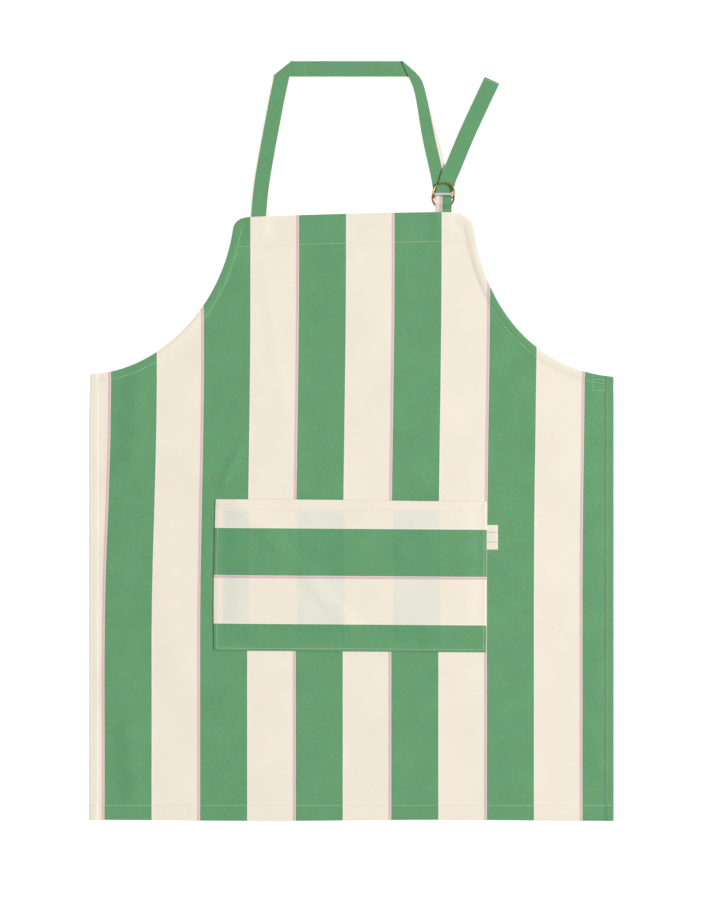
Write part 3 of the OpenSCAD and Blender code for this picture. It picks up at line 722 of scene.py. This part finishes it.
rearArc, frontBar = jointAt("lower_ring_rock"), jointAt("upper_ring_lift")
strap = {"width": 21.6, "ply": 1.0, "cell": 6, "across": 8, "floor": 0.55, "foldTurn": 0.8,
         "leftCorner": (-92.2, 497.8), "rightCorner": (79.3, 497.8), "leave": (0.13, -0.99),
         "leftRiser": [(-126, 279.5), (-125.4, 301), (-121.6, 341), (-113.7, 389), (-101.2, 456)],
         "rightRiser": [(88.3, 479), (91.2, 470), (94.4, 457), (97.4, 443), (103.2, 416), (109.6, 389),
                        (115.9, 362), (119.6, 342), (122.4, 325)],
         "curl": 0.67,          # how narrow the strap looks where it turns on edge past the right corner
         "tail": [(125.8, 338), (130.2, 352.4), (136.3, 366.5), (156.6, 414.8), (188.4, 482.9)],
         "greenEdge": {"left": 9.4, "run": 9.9, "corner": 10.6, "right": 6.2, "tail": 11.5},
         "behindBib": 1.15, "softCreases": ((-44.5, 4, 0.5), (-33, 3, 0.35)),    # x, half width, height
         # the turn round the rear ring: its radius, the ring's lean, the front leg and how far it stands off
         "turnR": 2.15, "lean": 27.5, "leg": 9, "legOff": 3.15, "legEnd": 13.5,
         # its height before the turn, after it, and at the tail's end
         "underZ": 0.6, "tailZ": 2.1, "tailEndZ": 1.45}


# The two ends of a line across a strap
def crossLine(centre, heading, half, flip=1):
    side = np.array([-heading[1], heading[0]]) * half * flip
    return np.array(centre) + side, np.array(centre) - side


# The middle of a folded corner, and from there to the end of its fold
def foldLine(corner, heading, turned, half):
    line = np.array(heading) + np.array(turned)
    line /= np.linalg.norm(line)
    reach = half / abs(line[0] * heading[1] - line[1] * heading[0])
    return np.array(corner), line * reach


def smoothPath(points, size):   # a smooth curve through points, evenly spaced
    points = np.array(points, float)
    padded = np.concatenate([[2 * points[0] - points[1]], points, [2 * points[-1] - points[-2]]])
    dense = []
    for a, b, c, d in zip(padded, padded[1:], padded[2:], padded[3:]):
        for t in np.linspace(0, 1, 12, endpoint=False):
            dense.append(0.5 * (2 * b + (c - a) * t + (2 * a - 5 * b + 4 * c - d) * t ** 2
                                + (3 * b - a - 3 * c + d) * t ** 3))
    dense.append(points[-1])
    return alongPath(dense, steps(0, pathLength(dense), size))


def rounded(points, radius):    # a path with its corners rounded off
    points = [np.array(p, float) for p in points]
    path = [points[0]]
    for a, b, c in zip(points, points[1:], points[2:]):
        cut = min(radius, 0.45 * np.linalg.norm(b - a), 0.45 * np.linalg.norm(c - b))
        start = b + (a - b) / np.linalg.norm(a - b) * cut
        end = b + (c - b) / np.linalg.norm(c - b) * cut
        path += [(1 - t) ** 2 * start + 2 * t * (1 - t) * b + t * t * end for t in np.linspace(0, 1, 5)]
    return np.array(path + [points[-1]])


def strapStations():
    half, low = strap["width"] / 2, strap["floor"]
    turn = strap["foldTurn"]
    high = low + 2 * turn
    green = strap["greenEdge"]
    stations = []               # (end one, end two, height, green edge)
    rising = smoothPath(strap["leftRiser"], strap["cell"])
    leftCorner, rightCorner = np.array(strap["leftCorner"]), np.array(strap["rightCorner"])
    up = (leftCorner - rising[-1]) / np.linalg.norm(leftCorner - rising[-1])
    run = (rightCorner - leftCorner) / np.linalg.norm(rightCorner - leftCorner)
    leave = np.array(strap["leave"]) / np.linalg.norm(strap["leave"])

    def turnOver(ends, reach, order, edge):     # the half turn at a folded corner
        outward = np.array([-reach[1], reach[0]]) / np.linalg.norm(reach)
        for k in order:
            a = math.pi * k / 6
            shift = outward * turn * math.sin(a)
            stations.append((ends[0] + shift, ends[1] + shift, low + turn + turn * math.cos(a), edge))

    # Up from behind the bib to the folded corner, where it lies on the run
    centre, reach = foldLine(leftCorner, up, run, half)
    for place, heading in zip(rising, headingsOf(rising)):
        level = strap["behindBib"] + (low - strap["behindBib"]) * ease((place[1] - bibTop - 2) / 14)
        level += 0.5 * ease((place[1] - 400) / 50)
        stations.append((*crossLine(place, heading, half), level, green["left"]))
    start = stations[-1]
    end = centre - reach, centre + reach
    for t in (0.25, 0.5, 0.75, 1.0):
        stations.append((*between(start, end, t), start[2] + ease(t) * (high - start[2]), green["left"]))
    turnOver(end, reach, range(1, 6), green["run"])

    # Across behind the neck, with two soft creases, to the second corner
    nextCentre, nextReach = foldLine(rightCorner, run, leave, half)
    far = nextCentre + nextReach, nextCentre - nextReach
    count = int(np.linalg.norm(rightCorner - leftCorner) / 3)
    for k in range(count + 1):
        ends = between(end, far, k / count)
        x = (ends[0][0] + ends[1][0]) / 2
        crease = sum(high * math.exp(-((x - at) / wide) ** 2) for at, wide, high in strap["softCreases"])
        stations.append((*ends, low + crease, green["run"]))
    turnOver(far, nextReach, range(5, 0, -1), green["right"])

    # Down the right side in a lazy curve
    curve = smoothPath(strap["rightRiser"], strap["cell"])
    headings = headingsOf(curve)
    first = crossLine(curve[0], headings[0], strap["curl"] * half)
    for t in (0.0, 0.25, 0.5, 0.75):
        stations.append((*between(far, first, t), high, green["corner"]))
    headings[-1] = (0, -1)
    for place, heading in zip(curve, headings):
        level = low + (high - low) * ease((place[1] - 445) / 30)
        opened = ease((478 - place[1]) / 95)
        wide = half * (strap["curl"] + (1 - strap["curl"]) * opened)
        edge = green["corner"] + (green["right"] - green["corner"]) * opened
        stations.append((*crossLine(place, heading, wide), level, edge))

    # Round the rear ring's arc, up over its wire, down, and away as the tail
    lean, leg, legOff, tailZ = math.radians(strap["lean"]), strap["leg"], strap["legOff"], strap["tailZ"]
    hump = (rearArc.y + leg * math.cos(lean) - legOff * math.sin(lean),
            rearArc.z + leg * math.sin(lean) + legOff * math.cos(lean))
    around = [(rearArc.y + strap["turnR"] * math.cos(a), rearArc.z + strap["turnR"] * math.sin(a))
              for a in np.linspace(math.radians(270), math.radians(90) + lean, 12)]
    over = rounded([around[-1], hump, (rearArc.y + strap["legEnd"], tailZ), (rearArc.y + 20, tailZ)], 1.6)
    under = [(rearArc.y + away, strap["underZ"]) for away in (9, 4)]
    for y, z in under + around + [tuple(p) for p in over[1:]]:
        stations.append((np.array([tabX + half, y]), np.array([tabX - half, y]), z, green["tail"]))
    tail = smoothPath([(tabX + 0.3, rearArc.y + 21.5)] + strap["tail"], strap["cell"])
    for place, heading in zip(tail, headingsOf(tail)):
        level = tailZ - 1.45 * ease((place[1] - 385) / 50) + 0.8 * ease((place[1] - 337) / 12)
        stations.append((*crossLine(place, heading, half, -1), level, green["tail"]))
    return stations


# A cloth between two edges, from lines across it
def ribbonPiece(name, stations, count, material, ply, widthUv):
    share = np.linspace(0, 1, count + 1)
    points, uv, along, last = [], [], 0.0, None
    for one, two, level, edge in stations:
        middle = np.array([*(one + two) / 2, level])
        along += 0.0 if last is None else float(np.linalg.norm(middle - last))
        last = middle
        for s in share:
            points.append((*(two + s * (one - two)), level))
            uv.append((widthUv(s, edge), along))
    row = count + 1
    faces = [(i * row + k, i * row + k + 1, (i + 1) * row + k + 1, (i + 1) * row + k)
             for i in range(len(stations) - 1) for k in range(count)]
    piece = meshPiece(name, points, faces, uv)
    only(piece)
    bpy.ops.object.mode_set(mode="EDIT")
    bpy.ops.mesh.select_all(action="SELECT")
    bpy.ops.mesh.flip_normals()
    bpy.ops.object.mode_set(mode="OBJECT")
    finishCloth(piece, ply, material)
    return piece, along


greenEnd = canvas["pink"] + canvas["green"]
neckStrap, strapLength = ribbonPiece("neckStrap", strapStations(), strap["across"], panelCanvas, strap["ply"],
                                     lambda s, edge: greenEnd + (s - 0.5) * strap["width"] - edge)
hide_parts("neck_strap", "strap_sewn_end")
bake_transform(neckStrap)
print("neck strap:", round(strapLength), "mm long")


# ---- ring tab

tab = {"width": 21.8, "ply": 0.9, "across": 8, "cream": 5.1, "sewn": 23, "seam": (0.95, 1.9), "turn": 2.05,
       # places as (along, up): the crest from the rear ring's arc, the foot from the hinge and the floor,
       # how far the upper layer lies over the lower, and the angles where the turn round the bar starts and ends
       "crest": (6.78, 8.9), "foot": (2.2, 2.0), "over": 1.15, "wrap": (101, 238)}


def makeTab():
    crest = np.array([rearArc.y, rearArc.z]) + tab["crest"]
    foot = np.array([neckY, 0.0]) + tab["foot"]
    bar = np.array([frontBar.y, frontBar.z])
    lift = np.array([0, tab["over"]])
    back, front = tab["seam"]
    rim = bibTopAt(tabX)
    climb = math.atan2(*(bar - crest)[::-1])
    start, end = (math.radians(angle) for angle in tab["wrap"])
    angles = np.linspace(climb + start, climb - end, 16)
    bend = [tuple(bar + tab["turn"] * np.array([math.cos(a), math.sin(a)])) for a in angles]
    outside = [(rim - tab["sewn"], back), (rim, back), tuple(foot), tuple(crest)]
    inside = [tuple(crest + lift), tuple(foot + lift), (rim, front), (rim - tab["sewn"], front)]
    return rounded(outside + bend[:1], 2.2), bend, rounded(bend[-1:] + inside, 2.2)


def tabStations():
    under, bend, over = makeTab()
    half = tab["width"] / 2
    path = list(under) + bend[1:] + list(over[1:])
    fine = alongPath(path, steps(0, pathLength(path), 0.9))
    return [(np.array([tabX + half, y]), np.array([tabX - half, y]), z, 0) for y, z in fine]


ringTab, tabLength = ribbonPiece("ringTab", tabStations(), tab["across"], panelCanvas, tab["ply"],
                                 lambda s, edge: s * tab["width"] - tab["cream"])
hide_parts("ring_tab", "tab_sewn_end")
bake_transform(ringTab)
print("ring tab:", round(tabLength), "mm long")


# ---- waist ties, folded flat behind the skirt

def makeTie(name, side):
    root, end = tieEnd(side)
    heading = (end - root) / np.linalg.norm(end - root)
    half = ties["width"] / 2
    one, two = crossLine(root, heading, half)
    level = ties["level"]
    first = []                  # cut on the slant along the side edge
    for corner in (one, two):
        first.append(corner + heading * (root[0] - corner[0]) / heading[0])
    last = crossLine(end, heading, half)
    count = int(ties["length"] / 8)
    stations = [(*between(first, last, t), level, 0) for t in np.linspace(0, 1, count)]
    for k in range(1, turnSteps + 1):       # the end turned back on itself
        a = math.pi * k / turnSteps
        shift = heading * level * math.sin(a)
        stations.append((last[0] + shift, last[1] + shift, level * (2 - math.cos(a)), 0))
    for back in (ties["turned"] / 2, ties["turned"]):
        stations.append((last[0] - heading * back, last[1] - heading * back, 3 * level, 0))
    return ribbonPiece(name, stations, 6, panelCanvas, ties["ply"],
                       lambda s, edge: canvas["pink"] + 20 + s * ties["width"])[0]


for side, (name, node, body) in enumerate((("waistTieLeft", "waist_tie_left", "left_tie"),
                                           ("waistTieRight", "waist_tie_right", "right_tie"))):
    tie = makeTie(name, side)
    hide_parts(node)
    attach(tie, body)
print("waist ties are made")


# ---- stitches

stitch = {"long": 2.4, "pitch": 3.2, "thick": 0.5, "sides": 6, "dip": 0.22, "proud": 0.08}


# One stitch: a short thread, bowed so that both its ends go down into the cloth
def makeStitch():
    bpy.ops.object.select_all(action="DESELECT")
    bpy.ops.mesh.primitive_cylinder_add(vertices=stitch["sides"], radius=stitch["thick"] / 2, depth=stitch["long"],
                                        rotation=(0, math.pi / 2, 0))
    one = bpy.context.object
    bpy.ops.object.transform_apply(location=False, rotation=True)
    bpy.ops.object.mode_set(mode="EDIT")
    for cut in (-0.3, 0.3):
        bpy.ops.mesh.select_all(action="SELECT")
        bpy.ops.mesh.bisect(plane_co=(cut * stitch["long"], 0, 0), plane_no=(1, 0, 0))
    bpy.ops.mesh.select_all(action="DESELECT")
    bpy.ops.object.mode_set(mode="OBJECT")
    for v in one.data.vertices:
        v.select = abs(v.co.x) > 0.45 * stitch["long"]
    bpy.ops.object.mode_set(mode="EDIT")
    bpy.ops.transform.resize(value=(1, 0.6, 0.6))
    bpy.ops.transform.translate(value=(0, 0, -stitch["dip"]))
    bpy.ops.object.mode_set(mode="OBJECT")
    return one


oneStitch = makeStitch()
stitchPoints = np.array([v.co for v in oneStitch.data.vertices])
stitchFaces = [list(f.vertices) for f in oneStitch.data.polygons]
bpy.data.objects.remove(oneStitch)


# A row of stitches along lines that lie on a cloth
def stitchRow(name, node, lines, surface, body="apron"):
    points, faces = [], []
    for line in lines:
        length = pathLength(line)
        count = max(1, int(length / stitch["pitch"]))
        centres = (np.arange(count) + 0.5) * length / count
        here = alongPath(line, centres)
        ahead = alongPath(line, centres + 0.4) - alongPath(line, centres - 0.4)
        levels = surface(here[:, 0], here[:, 1])
        rises = surface(here[:, 0] + ahead[:, 0], here[:, 1] + ahead[:, 1]) - levels
        for (x, y), (dx, dy), z, rise in zip(here, ahead, levels, rises):
            turn = math.atan2(dy, dx) + random.uniform(-0.05, 0.05)
            tip = -math.atan2(rise, math.hypot(dx, dy))
            matrix = Matrix.Translation((x, y, z)) @ Matrix.Rotation(turn, 4, "Z") @ Matrix.Rotation(tip, 4, "Y")
            stretch = random.uniform(0.9, 1.06)
            first = len(points)
            points += [matrix @ Vector((p[0] * stretch, p[1], p[2])) for p in stitchPoints]
            faces += [[first + k for k in f] for f in stitchFaces]
    piece = meshPiece(name, points, faces)
    only(piece)
    bpy.ops.object.shade_smooth_by_angle(angle=math.radians(60))
    piece.data.materials.append(sewingThread)
    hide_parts(node)
    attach(piece, body)
    return piece


def onPanel(x, y):
    return panelHeight(x, y) + panel["ply"] / 2 + stitch["proud"]


def onPocket(x, y):
    return pocketHeight(x, y) + panel["ply"] / 2 + stitch["proud"]


# How far each seam lies from its edge, and the length of the tacks
seam = {"arm": 10, "facing": 38.5, "side": 9, "hem": 20, "pocketSide": 3, "pocketLow": 3, "pocketTop": 12,
        "tack": 10, "tie": 15, "tail": 2.2, "tapeHalf": 9.5}
acrossBib = np.linspace(-bibHalf + 7, bibHalf - 8, 60)
sideLow, sideHigh = panelLow.y + seam["hem"] + 2, sideTop - 6
hemLine = panelLow.y + seam["hem"]
pocketTopY = pocketHigh.y - seam["pocketTop"]
pocketIn = pocketHigh.x - seam["pocketSide"] - 2
seamLeft, seamRight = pocketLow.x + seam["pocketSide"], pocketHigh.x - seam["pocketSide"] - 1.6
seamLow, tackLow = pocketLow.y + seam["pocketLow"], pocketHigh.y - seam["tack"]


def armholeLine(path, turn):
    line = inset(path, seam["arm"], turn)
    return line[(np.abs(line[:, 0]) < panelHigh.x - seam["side"] - 1) & (line[:, 1] < bibTop - 12)]


def pocketTack(x, y, inward):   # two short rows side by side
    return [[(place, y), (place, y - seam["tack"])] for place in (x, x + inward)]


def tieTack(sign):              # a square
    x0 = sign * (panelHigh.x - seam["side"] - 3)
    x1, y0, y1 = x0 - sign * seam["tie"], sideHigh, sideHigh - seam["tie"]
    return [[(x0, y0), (x1, y0), (x1, y1), (x0, y1), (x0, y0)]]


for name, node, lines, surface in (
        ("bibFacingStitch", "bib_facing_stitch",
         [np.stack([acrossBib, bibTopAt(acrossBib) - seam["facing"]], axis=1)], onPanel),
        ("armholeStitchLeft", "armhole_stitch_left", [armholeLine(armLeft, 1)], onPanel),
        ("armholeStitchRight", "armhole_stitch_right", [armholeLine(armRight, -1)], onPanel),
        ("sideStitchLeft", "side_stitch_left",
         [[(panelLow.x + seam["side"] + 0.4, y) for y in (sideLow, sideHigh)]], onPanel),
        ("sideStitchRight", "side_stitch_right",
         [[(panelHigh.x - seam["side"] + 0.4, y) for y in (sideLow, sideHigh)]], onPanel),
        ("bottomHemStitch", "bottom_hem_stitch",
         [[(panelLow.x + 1.5, hemLine), (panelHigh.x - 1.5, hemLine)]], onPanel),
        ("pocketHemStitch", "pocket_hem_stitch",
         [[(-pocketIn + 1, pocketTopY - 0.5), (pocketIn - 1, pocketTopY - 2.6)]], onPocket),
        ("pocketSeam", "pocket_seam",
         [[(seamLeft, tackLow - 4), (seamLeft - 2.2, (pocketLow.y + pocketHigh.y) / 2), (seamLeft - 1.4, seamLow),
           (seamRight - 0.8, seamLow - 2), (seamRight, tackLow - 6)]], onPocket),
        ("pocketTackLeft", "pocket_tack_left", pocketTack(seamLeft, pocketHigh.y - 2, 1.8), onPocket),
        ("pocketTackRight", "pocket_tack_right", pocketTack(seamRight, pocketHigh.y - 4.5, -1.8), onPocket),
        ("tieTackLeft", "tie_tack_left", tieTack(-1), onPanel),
        ("tieTackRight", "tie_tack_right", tieTack(1), onPanel)):
    stitchRow(name, node, lines, surface)

tailEnd = np.array(strap["tail"][-1])
tailWay = headingsOf(strap["tail"][-2:])[0]
tailSide = np.array([tailWay[1], -tailWay[0]])
stitchRow("tailEndStitch", "tail_end_stitch",
          [[tailEnd - seam["tail"] * tailWay + sign * seam["tapeHalf"] * tailSide for sign in (-1, 1)]],
          flatHeight(strap["tailEndZ"] + strap["ply"] / 2 + stitch["proud"]), "neck_loop")
tabOver = makeTab()[2]
order = np.argsort(tabOver[:, 0])
stitchRow("tabStitch", "tab_stitch", [[(tabX + sign * seam["tapeHalf"], neckY + 5) for sign in (-1, 1)]],
          lambda x, y: np.interp(y, tabOver[order, 0], tabOver[order, 1]) + tab["ply"] / 2 + 0.15,
          "neck_loop")
print("stitches are made")


# ---- rings and sleeve keep their CAD shapes

for node, metal in (("front_ring", antiqueBrass), ("rear_ring", antiqueBrass), ("bar_sleeve", brightNickel)):
    frame["nodes"][node].data.materials.clear()
    frame["nodes"][node].data.materials.append(metal)
